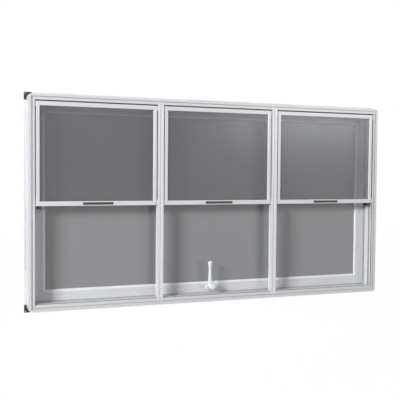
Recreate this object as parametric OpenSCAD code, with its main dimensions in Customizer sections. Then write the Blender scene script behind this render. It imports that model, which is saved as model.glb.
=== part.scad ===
// Concession window: a mitred aluminium frame in three bays, with a lifting insect screen
// in each bay, one top-hung glazed sash behind them and a crank operator on the sill side.
// X runs along the sill, Y runs outwards through the wall and Z is up.
// The origin is on the room side of the mounting flange, at the middle of its bottom leg.

/* [Frame] */
// Width over the frame, without the mounting flange
frame_w = 1902; // [1400:10:2400]
// Height over the frame, without the mounting flange
frame_h = 1013; // [900:5:1300]
// How far the frame stands into the room from the mounting flange
room_depth = 72; // [66:1:90]
// How far the frame reaches outwards from the mounting flange
outer_depth = 30; // [26:1:40]
// Thickness of the extruded walls
wall = 2; // [1.5:0.1:2.5]
// Radius of the outer frame corners
corner_r = 17; // [10:1:24]
// Width of the face of the head and jambs
face_w = 28; // [27:1:32]
// Height of the face of the sill
sill_face_h = 34; // [32:1:38]
// Distance from the outer edge to the face groove
groove_start = 12; // [10:0.5:13]
// Width of the face groove
groove_w = 7; // [5:0.5:8]
// Depth of the face groove
groove_depth = 6; // [3:0.5:8]
// Width of the fine lines along the web and the sash bars
line_w = 1.2; // [0.8:0.1:2]
// Depth of the fine lines
line_depth = 0.8; // [0.5:0.1:1]

/* [Screen track] */
// Depth of the front lip
lip_depth = 3; // [2:0.5:4]
// Width of the front slot, in which the screen shoes run
front_slot_w = 9; // [8:0.5:11]
// Depth of the rib behind the front slot
rib_depth = 11; // [8:1:14]
// Width of the second slot
rear_slot_w = 15; // [10:1:18]
// How far the slots are sunk behind the lip
slot_sink = 7; // [6:0.5:8]
// How far the rib and the web lie inside the lip
web_step = 2; // [1:0.5:3]
// How far the rib of the sill stands over its lip
sill_rib_rise = 2; // [1:0.5:4]

/* [Flange] */
// Width of the mounting flange beyond the frame
flange_w = 12; // [10:1:20]
// Thickness of the mounting flange
flange_t = 2; // [1.5:0.1:3]
// Length of each leg of the corner pieces
corner_leg = 37; // [30:1:60]
// Thickness of the corner pieces
corner_t = 3.5; // [3:0.5:6]
// Radius of the outer corner of the corner pieces
corner_piece_r = 4; // [2:0.5:6]
// Radius of the flange screw holes
flange_hole_r = 2.2; // [1.6:0.1:3]
// Number of screw holes along the head and the sill flange
long_holes = 6; // [4:2:10]
// Number of screw holes along each side flange
short_holes = 3; // [2:1:6]

/* [Mullions] */
// Width of a mullion
mullion_w = 30; // [28:1:50]
// Depth of a mullion
mullion_depth = 28; // [22:1:34]
// Width of the groove in the mullion face
mullion_groove_w = 7; // [4:0.5:10]
// Depth of the groove in the mullion face
mullion_groove_depth = 2.5; // [1:0.5:3]
// How far the mullion face stands proud of the frame face
mullion_proud = 1; // [1:0.5:3]

/* [Screens] */
// Gap between a screen and the frame or mullions beside it
screen_gap = 5.5; // [5:0.1:8]
// Width of the screen stiles
screen_stile_w = 17.5; // [14:0.5:24]
// Height of the screen top rail
screen_top_h = 21; // [16:1:28]
// Height of the screen bottom rail
screen_bottom_h = 21.5; // [20:1:32]
// Thickness of the screen bars
screen_t = 8; // [6:0.5:8]
// How far a raised screen's face lies behind the frame face
screen_back = 2; // [1:0.5:3]
// Height of a screen over its rails
screen_h = 486; // [420:1:500]
// Bevel along the inner edges of the screen bars
screen_bevel = 2; // [1:0.5:3]
// Chamfer along the outer edges of the screen bars
screen_chamfer = 0.8; // [0.4:0.1:1.5]
// Width of the spline groove in the back of the screen bars
spline_w = 3.5; // [3:0.1:5]
// Depth of the spline groove
spline_depth = 4; // [3:0.5:5]
// Distance from the inner edge of the screen bars to the spline groove
spline_inset = 2.5; // [2:0.1:4]
// Thickness of the screen mesh
mesh_t = 1.2; // [0.8:0.1:2]
// Width of the pull strip on the bottom rail
pull_w = 147; // [80:1:220]
// Height of the pull strip
pull_h = 11.5; // [8:0.5:14]
// How far the pull strip stands out of the rail
pull_proud = 3; // [2:0.5:5]
// Depth of the finger groove and the edge chamfers of the pull strip
pull_relief = 1; // [0.5:0.1:1.5]
// Height of the guide shoes
shoe_h = 26; // [16:1:40]
// How far the guide shoes reach into their slots
shoe_reach = 5.5; // [3:0.5:5.8]
// Running clearance of a guide shoe in its slot
shoe_clearance = 0.3; // [0.2:0.05:0.6]
// Distance from a screen's outer edge to its latches
latch_inset = 9; // [6:0.5:16]
// Width of the latches
latch_w = 16; // [10:0.5:24]
// Height of a latch on the back of its bar
latch_h = 34; // [26:1:48]
// How far the latches hang below the screen
latch_drop = 14; // [10:0.5:20]
// How far the latches reach outwards behind the screen
latch_reach = 34; // [26:1:40]
// Thickness of the latch plate on the bar
latch_plate = 5; // [3:0.5:8]
// Radius of the eye at the end of a latch
latch_eye_r = 2.5; // [1.5:0.25:3]

/* [Sash] */
// Distance from the frame's outer edge to the sash stiles
sash_side_margin = 33; // [31:1:38]
// Distance from the frame's outer edge to the sash bottom rail
sash_bottom_margin = 35; // [33:1:40]
// Distance from the frame's outer edge to the sash top rail
sash_top_margin = 28; // [27:1:34]
// Width of the sash bars
sash_w = 45; // [36:1:56]
// Depth of the sash bars
sash_depth = 26; // [24:1:32]
// Distance from the frame face to the sash face
sash_back = 79; // [76:1:84]
// Width of the glazing bead
bead_w = 10; // [6:0.5:14]
// Depth of the glazing bead
bead_depth = 7; // [5:0.5:9]
// Thickness of the glass
glass_t = 4; // [3:0.5:6]
// How deep the glass sits in the sash bars
glass_bite = 10; // [6:1:14]
// Gap between the glass edge and the bottom of its rebate
glass_edge_gap = 2; // [1:0.5:4]
// Depth of the rubber seal between the frame web and the sash
seal_depth = 7; // [5:0.5:9]
// How far the seal laps the frame web and the sash
seal_lap = 1.5; // [1:0.5:3]
// Thickness of the frame wall round the sash
pocket_wall = 3; // [2:0.5:5]
// Distance from the sash's outer edge to the fine line in its face
sash_line = 31; // [10:1:40]
// How far the outer lip of the sash stops short of the frame's outer edge
lip_margin = 5; // [4:0.5:10]
// Radius of the hinge barrel
hinge_r = 3; // [2.5:0.25:5]
// Clearance round the hinge barrel
hinge_gap = 0.5; // [0.3:0.1:1]
// Depth of the hinge leaf on the frame head
hinge_leaf = 14; // [10:1:20]

/* [Operator] */
// How far the crank's shaft stands to the left of the middle
crank_offset = 15; // [0:1:24]
// Height of the crank's shaft over the bottom of the frame
hub_z = 68; // [60:1:70]
// Width of the crank housing
housing_w = 74; // [60:1:100]
// Height of the crank housing
housing_h = 27; // [20:1:34]
// Depth of the crank housing
housing_depth = 18; // [14:1:22]
// Chamfer round the front of the housing
housing_chamfer = 3; // [1:0.5:5]
// How far the housing's middle stands to the right of the shaft
housing_shift = 12; // [0:0.5:14]
// How far the housing's middle lies below the shaft
housing_drop = 7; // [0:0.5:8]
// Radius of the round boss on the housing
boss_r = 13.5; // [12:0.5:17]
// Length of the boss
boss_len = 6; // [3:0.5:8]
// Radius of the crank hub
hub_r = 11; // [9:0.5:13]
// Length of the crank hub
hub_len = 24; // [18:1:28]
// Thickness of the crank handle
handle_t = 9; // [6:0.5:12]
// Half width of the handle's eye on the hub
eye_r = 13.5; // [12:0.5:16]
// Half width of the handle at its bend
bend_r = 10.25; // [8:0.25:13]
// Half width of the handle's shank below the grip
handle_r = 8.25; // [6:0.25:12]
// How far the front edges of the handle taper in
handle_taper = 2.5; // [1:0.5:4]
// How far the shank stands to the left of the shaft
bend_x = 20; // [12:1:28]
// Height of the handle's bend over the shaft
bend_z = 36; // [28:1:46]
// Height over the shaft at which the grip starts
neck_z = 100; // [80:1:106]
// Height of the middle of the grip's round end over the shaft
grip_z = 123; // [116:1:136]
// Radius of the grip's round end
grip_r = 12.5; // [10:0.5:16]
// Thickness of the grip
grip_t = 12; // [9:0.5:13]

/* [Hidden] */
// Smoothness of small and large rounds
$fn = 48;
small_fn = 24;
// How far every cut runs past the solid it cuts
overrun = 1;
// Height of the frame's bottom edge over the origin
base_z = flange_w / 2;
frame_depth = room_depth + outer_depth;
front_y = -room_depth;
// Depths along the frame section, from the room face
slot_start = lip_depth;
rib_start = slot_start + front_slot_w;
rear_slot_start = rib_start + rib_depth;
web_start = rear_slot_start + rear_slot_w;
web_end = sash_back - seal_depth;
mitre_reach = sill_face_h + sash_w + bead_w;
clear_w = frame_w - 2 * face_w;
bay_w = (clear_w - 2 * mullion_w) / 3;
mullion_x = (bay_w + mullion_w) / 2;
bay_pitch = bay_w + mullion_w;
clear_top = base_z + frame_h - face_w;
clear_bottom = base_z + sill_face_h;
screen_w = bay_w - 2 * screen_gap;
screen_top = clear_top - screen_gap;
screen_bottom = screen_top - screen_h;
screen_y = front_y + screen_back;
screen_back_y = screen_y + screen_t;
sash_y = front_y + sash_back;
glass_y = sash_y + bead_depth;
lip_reach = sash_bottom_margin - lip_margin;
lip_top_margin = pocket_wall + 2 * hinge_r + 2 * hinge_gap;
housing_y = sash_y - housing_depth;
handle_y = housing_y - boss_len - hub_len;
BAYS = [-1, 0, 1];

// Rectangle with true round corners, from its low corner.
module round_rect(w, h, r) {
    translate([r, 0]) square([w - 2 * r, h]);
    translate([0, r]) square([w, h - 2 * r]);
    for (x = [r, w - r], z = [r, h - r]) translate([x, z]) circle(r);
}

// Draws a shape of the front view, in X and Z, as a plate from depth y to y + t.
module front_plate(y, t) {
    translate([0, y + t, 0]) rotate([90, 0, 0]) linear_extrude(height = t) children();
}

// Stands a section on its end along the height, or lays it along the head, w from the outer edge.
module jamb_bar(len, edge) {
    translate([-edge, front_y, base_z]) linear_extrude(height = len) children();
}

module head_bar(len, top) {
    translate([-len / 2, front_y, top]) rotate([0, 90, 0]) linear_extrude(height = len) children();
}

module sill_bar(len, bottom) {
    translate([-len / 2, front_y, bottom]) mirror([0, 0, 1]) rotate([0, 90, 0])
        linear_extrude(height = len) children();
}

// Front view of one mitred member: 0 is the head, 1 the sill and 2 the left side.
module mitre_outline(side, margin_x, margin_z0, margin_z1) {
    x = frame_w / 2 - margin_x;
    z0 = base_z + margin_z0;
    z1 = base_z + frame_h - margin_z1;
    m = mitre_reach;
    if (side == 0) polygon([[-x, z1], [x, z1], [x - m, z1 - m], [m - x, z1 - m]]);
    if (side == 1) polygon([[-x, z0], [x, z0], [x - m, z0 + m], [m - x, z0 + m]]);
    if (side == 2) polygon([[-x, z0], [-x, z1], [m - x, z1 - m], [m - x, z0 + m]]);
}

module frame_mitre(side) {
    front_plate(front_y - overrun, frame_depth + 2 * overrun) intersection() {
        mitre_outline(side, 0, 0, 0);
        translate([-frame_w / 2, base_z]) round_rect(frame_w, frame_h, corner_r);
    }
}

module sash_mitre(side) {
    front_plate(sash_y - overrun, sash_depth + 2 * overrun)
        mitre_outline(side, sash_side_margin - lip_reach, sash_bottom_margin - lip_reach,
            sash_top_margin - lip_reach);
}

// Wall round the sash, outwards of the web, with the rounding of the frame's corners.
module pocket_ring() {
    front_plate(front_y + web_end, frame_depth - web_end) difference() {
        translate([-frame_w / 2, base_z]) round_rect(frame_w, frame_h, corner_r);
        translate([pocket_wall - frame_w / 2, base_z + pocket_wall])
            round_rect(frame_w - 2 * pocket_wall, frame_h - 2 * pocket_wall, corner_r - pocket_wall);
    }
}

// Hollow of an extrusion between two widths and two depths, less the wall all round.
module chamber(w, d0, d1) {
    translate([wall, d0 + wall]) square([w - 2 * wall, d1 - d0 - 2 * wall]);
}

// Section of the head and jambs, or of the sill with its taller face and rib.
module frame_section(face, rib_rise) {
    slot_floor = face - slot_sink;
    web = face - web_step;
    rib = face + rib_rise;
    difference() {
        union() {
            square([face, lip_depth]);
            square([slot_floor, web_end]);
            translate([0, rib_start]) square([rib, rib_depth]);
            translate([0, web_start]) square([web, web_end - web_start]);
            square([pocket_wall, frame_depth]);
        }
        translate([groove_start, -overrun]) square([groove_w, groove_depth + overrun]);
        chamber(rib, rib_start, rear_slot_start);
        translate([0, wall]) chamber(slot_floor, rear_slot_start - 2 * wall, web_start);
        chamber(web, web_start, web_end);
        translate([web - line_depth, (web_start + web_end - line_w) / 2])
            square([line_depth + overrun, line_w]);
    }
}

module head_frame() {
    color("whitesmoke") intersection() {
        union() {
            head_bar(frame_w, base_z + frame_h) frame_section(face_w, -web_step);
            pocket_ring();
        }
        frame_mitre(0);
    }
}

module sill_frame() {
    color("whitesmoke") intersection() {
        union() {
            sill_bar(frame_w, base_z) frame_section(sill_face_h, sill_rib_rise);
            pocket_ring();
        }
        frame_mitre(1);
    }
}

module left_jamb() {
    color("whitesmoke") intersection() {
        union() {
            jamb_bar(frame_h, frame_w / 2) frame_section(face_w, -web_step);
            pocket_ring();
        }
        frame_mitre(2);
    }
}

module right_jamb() mirror([1, 0, 0]) left_jamb();

// Section of a mullion about its middle, with a slot for the screen shoes in each side.
module mullion_section() {
    half = mullion_w / 2;
    difference() {
        translate([-half, 0]) square([mullion_w, mullion_depth]);
        for (side = [-1, 1]) translate([side * (half - slot_sink / 2 + overrun / 2), slot_start])
            translate([-(slot_sink + overrun) / 2, 0]) square([slot_sink + overrun, front_slot_w]);
        translate([wall - half, rib_start + wall])
            square([mullion_w - 2 * wall, mullion_depth - rib_start - 2 * wall]);
    }
}

// Mullion with a grooved face plate that laps the inner strips of the head and sill.
module mullion(x) {
    head_lap = face_w - groove_start - groove_w;
    sill_lap = sill_face_h - groove_start - groove_w;
    face_len = clear_top - clear_bottom + head_lap + sill_lap;
    color("whitesmoke") translate([x, front_y, clear_bottom]) difference() {
        union() {
            linear_extrude(height = clear_top - clear_bottom) mullion_section();
            translate([-mullion_w / 2, -mullion_proud, -sill_lap])
                cube([mullion_w, mullion_proud, face_len]);
        }
        translate([-mullion_groove_w / 2, -mullion_proud - overrun, -sill_lap - overrun])
            cube([mullion_groove_w, mullion_groove_depth + overrun, face_len + 2 * overrun]);
        translate([-mullion_w / 2 - overrun, rib_start, -overrun])
            cube([mullion_w + 2 * overrun, mullion_depth, sill_rib_rise + overrun]);
    }
}

// Flange strip from one corner piece to the next, with its row of screw holes.
module flange_strip(len, holes) {
    pitch = len / holes;
    difference() {
        translate([-len / 2, 0, 0]) cube([len, flange_t, flange_w]);
        for (i = [0 : holes - 1])
            translate([(i + 0.5) * pitch - len / 2, -overrun, flange_w / 2]) rotate([-90, 0, 0])
                cylinder(r = flange_hole_r, h = flange_t + 2 * overrun, $fn = small_fn);
    }
}

strip_long = frame_w + 2 * flange_w - 2 * corner_leg;
strip_short = frame_h + 2 * flange_w - 2 * corner_leg;

module sill_flange() {
    color("whitesmoke") translate([0, 0, -flange_w / 2]) flange_strip(strip_long, long_holes);
}

module head_flange() {
    color("whitesmoke") translate([0, 0, base_z + frame_h]) flange_strip(strip_long, long_holes);
}

module left_flange() {
    color("whitesmoke") translate([-frame_w / 2, 0, base_z + frame_h / 2]) rotate([0, -90, 0])
        flange_strip(strip_short, short_holes);
}

module right_flange() mirror([1, 0, 0]) left_flange();

// Corner piece of the flange, an L round the frame corner with a screw hole in its elbow.
module corner_piece() {
    reach_x = frame_w / 2 + flange_w;
    reach_z = base_z - flange_w;
    inset = corner_piece_r + flange_hole_r;
    difference() {
        front_plate(0, corner_t) difference() {
            translate([-reach_x, reach_z]) difference() {
                round_rect(corner_leg + corner_piece_r, corner_leg + corner_piece_r, corner_piece_r);
                translate([corner_leg, -overrun]) square(corner_leg);
                translate([-overrun, corner_leg]) square([corner_leg + 2 * overrun, corner_leg]);
            }
            translate([-frame_w / 2, base_z]) round_rect(frame_w, frame_h, corner_r);
        }
        translate([inset - reach_x, -overrun, reach_z + inset]) rotate([-90, 0, 0])
            cylinder(r = flange_hole_r, h = corner_t + 2 * overrun, $fn = small_fn);
    }
}

module top_corner_piece() translate([0, 0, 2 * base_z + frame_h]) mirror([0, 0, 1]) corner_piece();

module bottom_left_corner() color("dimgray") corner_piece();
module top_left_corner() color("dimgray") top_corner_piece();
module bottom_right_corner() color("whitesmoke") mirror([1, 0, 0]) corner_piece();
module top_right_corner() color("whitesmoke") mirror([1, 0, 0]) top_corner_piece();

// Sash bar section, w from its outer edge, with the rebate for bead and glass.
module sash_section() {
    translate([0, sash_back]) difference() {
        square([sash_w + bead_w, sash_depth]);
        translate([sash_w, -overrun]) square([bead_w + overrun, bead_depth + overrun]);
        translate([sash_w + bead_w - glass_bite - glass_edge_gap, bead_depth])
            square([glass_bite + glass_edge_gap + overrun, glass_t]);
        translate([wall, wall]) square([sash_w - 2 * wall - glass_edge_gap, bead_depth - wall]);
        translate([wall, bead_depth + glass_t + wall])
            square([sash_w - 2 * wall, sash_depth - bead_depth - glass_t - 2 * wall]);
        translate([sash_line, -overrun]) square([line_w, line_depth + overrun]);
    }
}

// Thin lip round the outer face of the sash, which covers the gap to the frame's wall.
module sash_lip() {
    front_plate(sash_y + sash_depth - wall, wall) difference() {
        translate([lip_margin - frame_w / 2, base_z + lip_margin])
            square([frame_w - 2 * lip_margin, frame_h - lip_margin - lip_top_margin]);
        translate([sash_side_margin + wall - frame_w / 2, base_z + sash_bottom_margin + wall])
            square([frame_w - 2 * sash_side_margin - 2 * wall,
                frame_h - sash_bottom_margin - sash_top_margin - 2 * wall]);
    }
}

module sash_top_rail() {
    color("whitesmoke") intersection() {
        union() {
            head_bar(frame_w, base_z + frame_h - sash_top_margin) sash_section();
            sash_lip();
        }
        sash_mitre(0);
    }
}

module sash_bottom_rail() {
    color("whitesmoke") intersection() {
        union() {
            sill_bar(frame_w, base_z + sash_bottom_margin) sash_section();
            sash_lip();
        }
        sash_mitre(1);
    }
}

module sash_left_stile() {
    color("whitesmoke") intersection() {
        union() {
            jamb_bar(frame_h, frame_w / 2 - sash_side_margin) sash_section();
            sash_lip();
        }
        sash_mitre(2);
    }
}

module sash_right_stile() mirror([1, 0, 0]) sash_left_stile();

// Glazing bead with a sloped inner edge, pressed into the rebate of the sash bar.
module bead_section() {
    translate([sash_w, sash_back])
        polygon([[0, 0], [bead_w - wall, 0], [bead_w, wall], [bead_w, bead_depth], [0, bead_depth]]);
}

module top_bead() {
    color("white") intersection() {
        head_bar(frame_w, base_z + frame_h - sash_top_margin) bead_section();
        sash_mitre(0);
    }
}

module bottom_bead() {
    color("white") intersection() {
        sill_bar(frame_w, base_z + sash_bottom_margin) bead_section();
        sash_mitre(1);
    }
}

module left_bead() {
    color("white") intersection() {
        jamb_bar(frame_h, frame_w / 2 - sash_side_margin) bead_section();
        sash_mitre(2);
    }
}

module right_bead() mirror([1, 0, 0]) left_bead();

module glass_pane() {
    edge = sash_w + bead_w - glass_bite;
    x = frame_w / 2 - sash_side_margin - edge;
    z0 = base_z + sash_bottom_margin + edge;
    z1 = base_z + frame_h - sash_top_margin - edge;
    color("slategray", 0.6) translate([-x, glass_y, z0]) cube([2 * x, glass_t, z1 - z0]);
}

// Rubber seal between the end of the frame web and the face of the sash.
module sash_seal() {
    out_side = frame_w / 2 - face_w + web_step + seal_lap;
    out_z0 = base_z + sill_face_h - web_step - seal_lap;
    out_z1 = clear_top + web_step + seal_lap;
    in_side = frame_w / 2 - sash_side_margin - seal_lap;
    in_z0 = base_z + sash_bottom_margin + seal_lap;
    in_z1 = base_z + frame_h - sash_top_margin - seal_lap;
    color("dimgray") front_plate(sash_y - seal_depth, seal_depth) difference() {
        translate([-out_side, out_z0]) square([2 * out_side, out_z1 - out_z0]);
        translate([-in_side, in_z0]) square([2 * in_side, in_z1 - in_z0]);
    }
}

// Continuous hinge, a barrel with one leaf under the frame head and one behind the sash lip.
module sash_hinge() {
    len = frame_w - 2 * sash_side_margin;
    head_z = base_z + frame_h - pocket_wall;
    rail_z = base_z + frame_h - sash_top_margin;
    barrel_y = front_y + frame_depth;
    barrel_z = head_z - hinge_gap - hinge_r;
    lip_y = sash_y + sash_depth - wall;
    color("whitesmoke") translate([-len / 2, 0, 0]) {
        translate([0, barrel_y, barrel_z]) rotate([0, 90, 0])
            cylinder(r = hinge_r, h = len, $fn = small_fn);
        translate([0, barrel_y - hinge_leaf, head_z - wall]) cube([len, hinge_leaf, wall]);
        translate([0, lip_y - wall, rail_z]) cube([len, wall, barrel_z - rail_z]);
    }
}

// Outline of a screen in the front view, set in on all sides.
module screen_outline(bay, inset) {
    translate([bay * bay_pitch - screen_w / 2 + inset, screen_bottom + inset])
        square([screen_w - 2 * inset, screen_h - 2 * inset]);
}

// Opening inside the bars of a screen, grown on all sides.
module screen_opening(bay, grow) {
    h = screen_h - screen_top_h - screen_bottom_h;
    translate([bay * bay_pitch - screen_w / 2 + screen_stile_w - grow,
        screen_bottom + screen_bottom_h - grow])
            square([screen_w - 2 * screen_stile_w + 2 * grow, h + 2 * grow]);
}

// Ring of the spline groove in the back of a screen's bars.
module spline_ring(bay) {
    front_plate(screen_back_y - spline_depth, spline_depth) difference() {
        screen_opening(bay, spline_inset + spline_w);
        screen_opening(bay, spline_inset);
    }
}

// Screen bars as one ring, beveled to the mesh in front and grooved for its spline behind.
module screen_frame(bay) {
    color("whitesmoke") difference() {
        hull() {
            front_plate(screen_y, screen_t) screen_outline(bay, screen_chamfer);
            front_plate(screen_y + screen_chamfer, screen_t - screen_chamfer) screen_outline(bay, 0);
        }
        front_plate(screen_y, screen_t + overrun) screen_opening(bay, 0);
        hull() {
            front_plate(screen_y - overrun, overrun) screen_opening(bay, screen_bevel);
            front_plate(screen_y - overrun, overrun + screen_bevel) screen_opening(bay, 0);
        }
        front_plate(screen_back_y - mesh_t, mesh_t + overrun)
            screen_opening(bay, spline_inset + spline_w);
        spline_ring(bay);
    }
}

// Mesh sheet, which lies behind the bars' inner lip and dips into the spline groove.
module screen_mesh(bay) {
    color("gray", 0.7) {
        front_plate(screen_back_y - mesh_t, mesh_t) screen_opening(bay, spline_inset + spline_w);
        spline_ring(bay);
    }
}

// Section of the pull strip, in depth and height, with a finger groove and chamfered edges.
module pull_section() {
    c = pull_relief;
    difference() {
        polygon([[0, 0], [pull_proud - c, 0], [pull_proud, c], [pull_proud, pull_h - c],
            [pull_proud - c, pull_h], [0, pull_h]]);
        translate([pull_proud - c, pull_h / 3]) square([c + overrun, pull_h / 3]);
    }
}

module screen_pull(bay) {
    z = screen_bottom + (screen_bottom_h - pull_h) / 2;
    color("dimgray") translate([bay * bay_pitch + pull_w / 2, screen_y, z]) rotate([90, 0, -90])
        linear_extrude(height = pull_w) pull_section();
}

// Guide shoes that reach from the screen's edges into the front slots of the jambs and mullions.
module screen_shoes(bay) {
    len = screen_gap + shoe_reach;
    shoe_d = front_slot_w - 2 * shoe_clearance;
    y = front_y + slot_start + shoe_clearance;
    color("dimgray") for (side = [-1, 1], z = [screen_bottom, screen_top - shoe_h])
        translate([bay * bay_pitch + side * (screen_w + len) / 2 - len / 2, y, z])
            cube([len, shoe_d, shoe_h]);
}

// Side view of a latch, from the back of its bar: a plate with a rounded arm and an eye.
module latch_side() {
    arm_r = latch_eye_r + wall;
    difference() {
        union() {
            translate([0, -latch_drop]) square([latch_plate, latch_h]);
            hull() {
                translate([0, -latch_drop]) square([latch_plate, latch_drop]);
                translate([latch_reach - arm_r, arm_r - latch_drop]) circle(arm_r);
            }
        }
        translate([latch_reach - arm_r, arm_r - latch_drop]) circle(latch_eye_r);
    }
}

// Latch behind the bottom corner of a side screen that is next to its jamb. It holds the screen up.
module screen_latches(bay) {
    x = bay * (bay_pitch + screen_w / 2 - latch_inset - latch_w / 2);
    color("dimgray") translate([x - latch_w / 2, screen_back_y, screen_bottom])
        rotate([90, 0, 90]) linear_extrude(height = latch_w) latch_side($fn = small_fn);
}

// Oval housing with a chamfered front, and the round boss for the shaft through its top edge.
module operator_housing() {
    low_x = housing_shift - housing_w / 2;
    low_z = -housing_drop - housing_h / 2;
    c = housing_chamfer;
    color("whitesmoke") translate([-crank_offset, housing_y, base_z + hub_z]) {
        hull() {
            front_plate(c, housing_depth - c) translate([low_x, low_z])
                round_rect(housing_w, housing_h, housing_h / 2 - overrun);
            front_plate(0, housing_depth) translate([low_x + c, low_z + c])
                round_rect(housing_w - 2 * c, housing_h - 2 * c, housing_h / 2 - c - overrun);
        }
        translate([0, housing_depth, 0]) rotate([90, 0, 0])
            cylinder(r = boss_r, h = housing_depth + boss_len);
    }
}

module crank_hub() {
    color("whitesmoke") translate([-crank_offset, housing_y - boss_len, base_z + hub_z])
        rotate([90, 0, 0]) cylinder(r = hub_r, h = hub_len);
}

// Round end of a crank link, tapered towards the room.
module link_end(x, z, r, t) {
    translate([x, 0, z]) rotate([90, 0, 0]) cylinder(r1 = r, r2 = r - handle_taper, h = t);
}

// Flat end of a crank link, with the same tapered section.
module link_cut(x, z, r, t) {
    translate([x, 0, z]) linear_extrude(height = overrun)
        polygon([[-r, 0], [r, 0], [r - handle_taper, -t], [handle_taper - r, -t]]);
}

// Crank handle, from its eye on the hub up round a bend into the upright shank.
module crank_handle() {
    color("whitesmoke") translate([-crank_offset, handle_y, base_z + hub_z]) {
        hull() {
            link_end(0, 0, eye_r, handle_t);
            link_end(-bend_x, bend_z, bend_r, handle_t);
        }
        hull() {
            link_end(-bend_x, bend_z, bend_r, handle_t);
            link_cut(-bend_x, neck_z - overrun, handle_r, handle_t);
        }
    }
}

// Flared grip on the end of the shank.
module crank_knob() {
    color("whitesmoke") translate([-crank_offset, handle_y, base_z + hub_z]) hull() {
        link_cut(-bend_x, neck_z, handle_r, handle_t);
        link_end(-bend_x, grip_z, grip_r, grip_t);
    }
}

head_frame();
sill_frame();
left_jamb();
right_jamb();
mullion(-mullion_x);  // left_mullion
mullion(mullion_x);  // right_mullion
head_flange();
sill_flange();
left_flange();
right_flange();
top_left_corner();
top_right_corner();
bottom_left_corner();
bottom_right_corner();
sash_top_rail();
sash_bottom_rail();
sash_left_stile();
sash_right_stile();
top_bead();
bottom_bead();
left_bead();
right_bead();
glass_pane();
sash_seal();
sash_hinge();
screen_frame(BAYS[0]);  // left_screen_frame
screen_mesh(BAYS[0]);  // left_screen_mesh
screen_pull(BAYS[0]);  // left_screen_pull
screen_shoes(BAYS[0]);  // left_screen_shoes
screen_latches(BAYS[0]);  // left_screen_latches
screen_frame(BAYS[1]);  // centre_screen_frame
screen_mesh(BAYS[1]);  // centre_screen_mesh
screen_pull(BAYS[1]);  // centre_screen_pull
screen_shoes(BAYS[1]);  // centre_screen_shoes
screen_frame(BAYS[2]);  // right_screen_frame
screen_mesh(BAYS[2]);  // right_screen_mesh
screen_pull(BAYS[2]);  // right_screen_pull
screen_shoes(BAYS[2]);  // right_screen_shoes
screen_latches(BAYS[2]);  // right_screen_latches
operator_housing();
crank_hub();
crank_handle();
crank_knob();
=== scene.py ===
"""Looks of the concession window: finishes for its CAD parts, woven screens, crank, gaskets and studio.

X runs along the sill, Y outwards through the wall and Z is up, in metres. The origin is on the room
side of the mounting flange, at the middle of its bottom leg.
"""

from __future__ import annotations

import logging
import math
from dataclasses import dataclass, field
from enum import Enum
from typing import Any

import bmesh
import bpy
import numpy as np
from mathutils import Matrix, Vector


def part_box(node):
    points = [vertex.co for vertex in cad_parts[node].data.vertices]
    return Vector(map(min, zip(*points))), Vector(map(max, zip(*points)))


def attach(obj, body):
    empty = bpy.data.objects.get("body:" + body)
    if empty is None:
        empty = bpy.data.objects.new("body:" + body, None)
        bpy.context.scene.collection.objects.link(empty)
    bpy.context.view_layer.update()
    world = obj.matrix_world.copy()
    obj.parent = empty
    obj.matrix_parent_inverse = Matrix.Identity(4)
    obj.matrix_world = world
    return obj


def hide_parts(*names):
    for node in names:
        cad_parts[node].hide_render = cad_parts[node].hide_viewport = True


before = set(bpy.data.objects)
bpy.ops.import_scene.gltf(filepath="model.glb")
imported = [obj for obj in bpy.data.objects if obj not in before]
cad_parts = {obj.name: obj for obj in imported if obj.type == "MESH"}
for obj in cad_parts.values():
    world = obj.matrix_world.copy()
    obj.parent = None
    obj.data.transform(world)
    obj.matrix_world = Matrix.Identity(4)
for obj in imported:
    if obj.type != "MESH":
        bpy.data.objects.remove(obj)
LOG = logging.getLogger("window")
MM = 0.001
FRAME_BODY = "window_frame"
MERGE_DIST = 0.002 * MM
WELD_DIST = 0.005 * MM
SMOOTH_ANGLE = math.radians(40)
BEVEL_ANGLE = math.radians(35)
QUARTER_TURN = math.pi / 2


class Slot(Enum):
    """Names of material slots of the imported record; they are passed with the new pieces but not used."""

    SEAL = "seal_rubber"
    MESH = "screen_mesh"
    ZINC = "white_zinc"


class Bay(Enum):
    """The three bays, by the first word of their nodes' names."""

    LEFT = "left"
    CENTRE = "centre"
    RIGHT = "right"

    @property
    def body(self) -> str:
        """Name of the CAD body of the bay's screen."""
        return f"{self.value}_screen"


def linear(hex_colour: str) -> tuple[float, float, float, float]:
    """Turns an sRGB hex colour to linear light.

    Each channel c becomes c / 12.92 up to 0.04045, and ((c + 0.055) / 1.055) ** 2.4 above it.

    Args:
        hex_colour: Six hex digits after a hash.

    Returns:
        Red, green, blue and an alpha of 1.
    """
    raw = [int(hex_colour[i : i + 2], 16) / 255 for i in (1, 3, 5)]
    red, green, blue = (c / 12.92 if c <= 0.04045 else ((c + 0.055) / 1.055) ** 2.4 for c in raw)
    return red, green, blue, 1.0


def add_node(
    tree: bpy.types.NodeTree,
    kind: str,
    settings: dict[Any, Any] | None = None,
    links: dict[Any, bpy.types.NodeSocket] | None = None,
) -> bpy.types.Node:
    """Adds one node with its settings and links.

    Args:
        tree: Node tree that takes the node.
        kind: Node type, without its leading "ShaderNode".
        settings: Property names or input sockets (by name or number) with their values.
        links: Input sockets (by name or number) with the output that feeds each.

    Returns:
        The new node.
    """
    node = tree.nodes.new(f"ShaderNode{kind}")
    for key, value in (settings or {}).items():
        if isinstance(key, str) and hasattr(node, key):
            setattr(node, key, value)
        else:
            node.inputs[key].default_value = value
    for key, output in (links or {}).items():
        tree.links.new(output, node.inputs[key])
    return node


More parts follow.
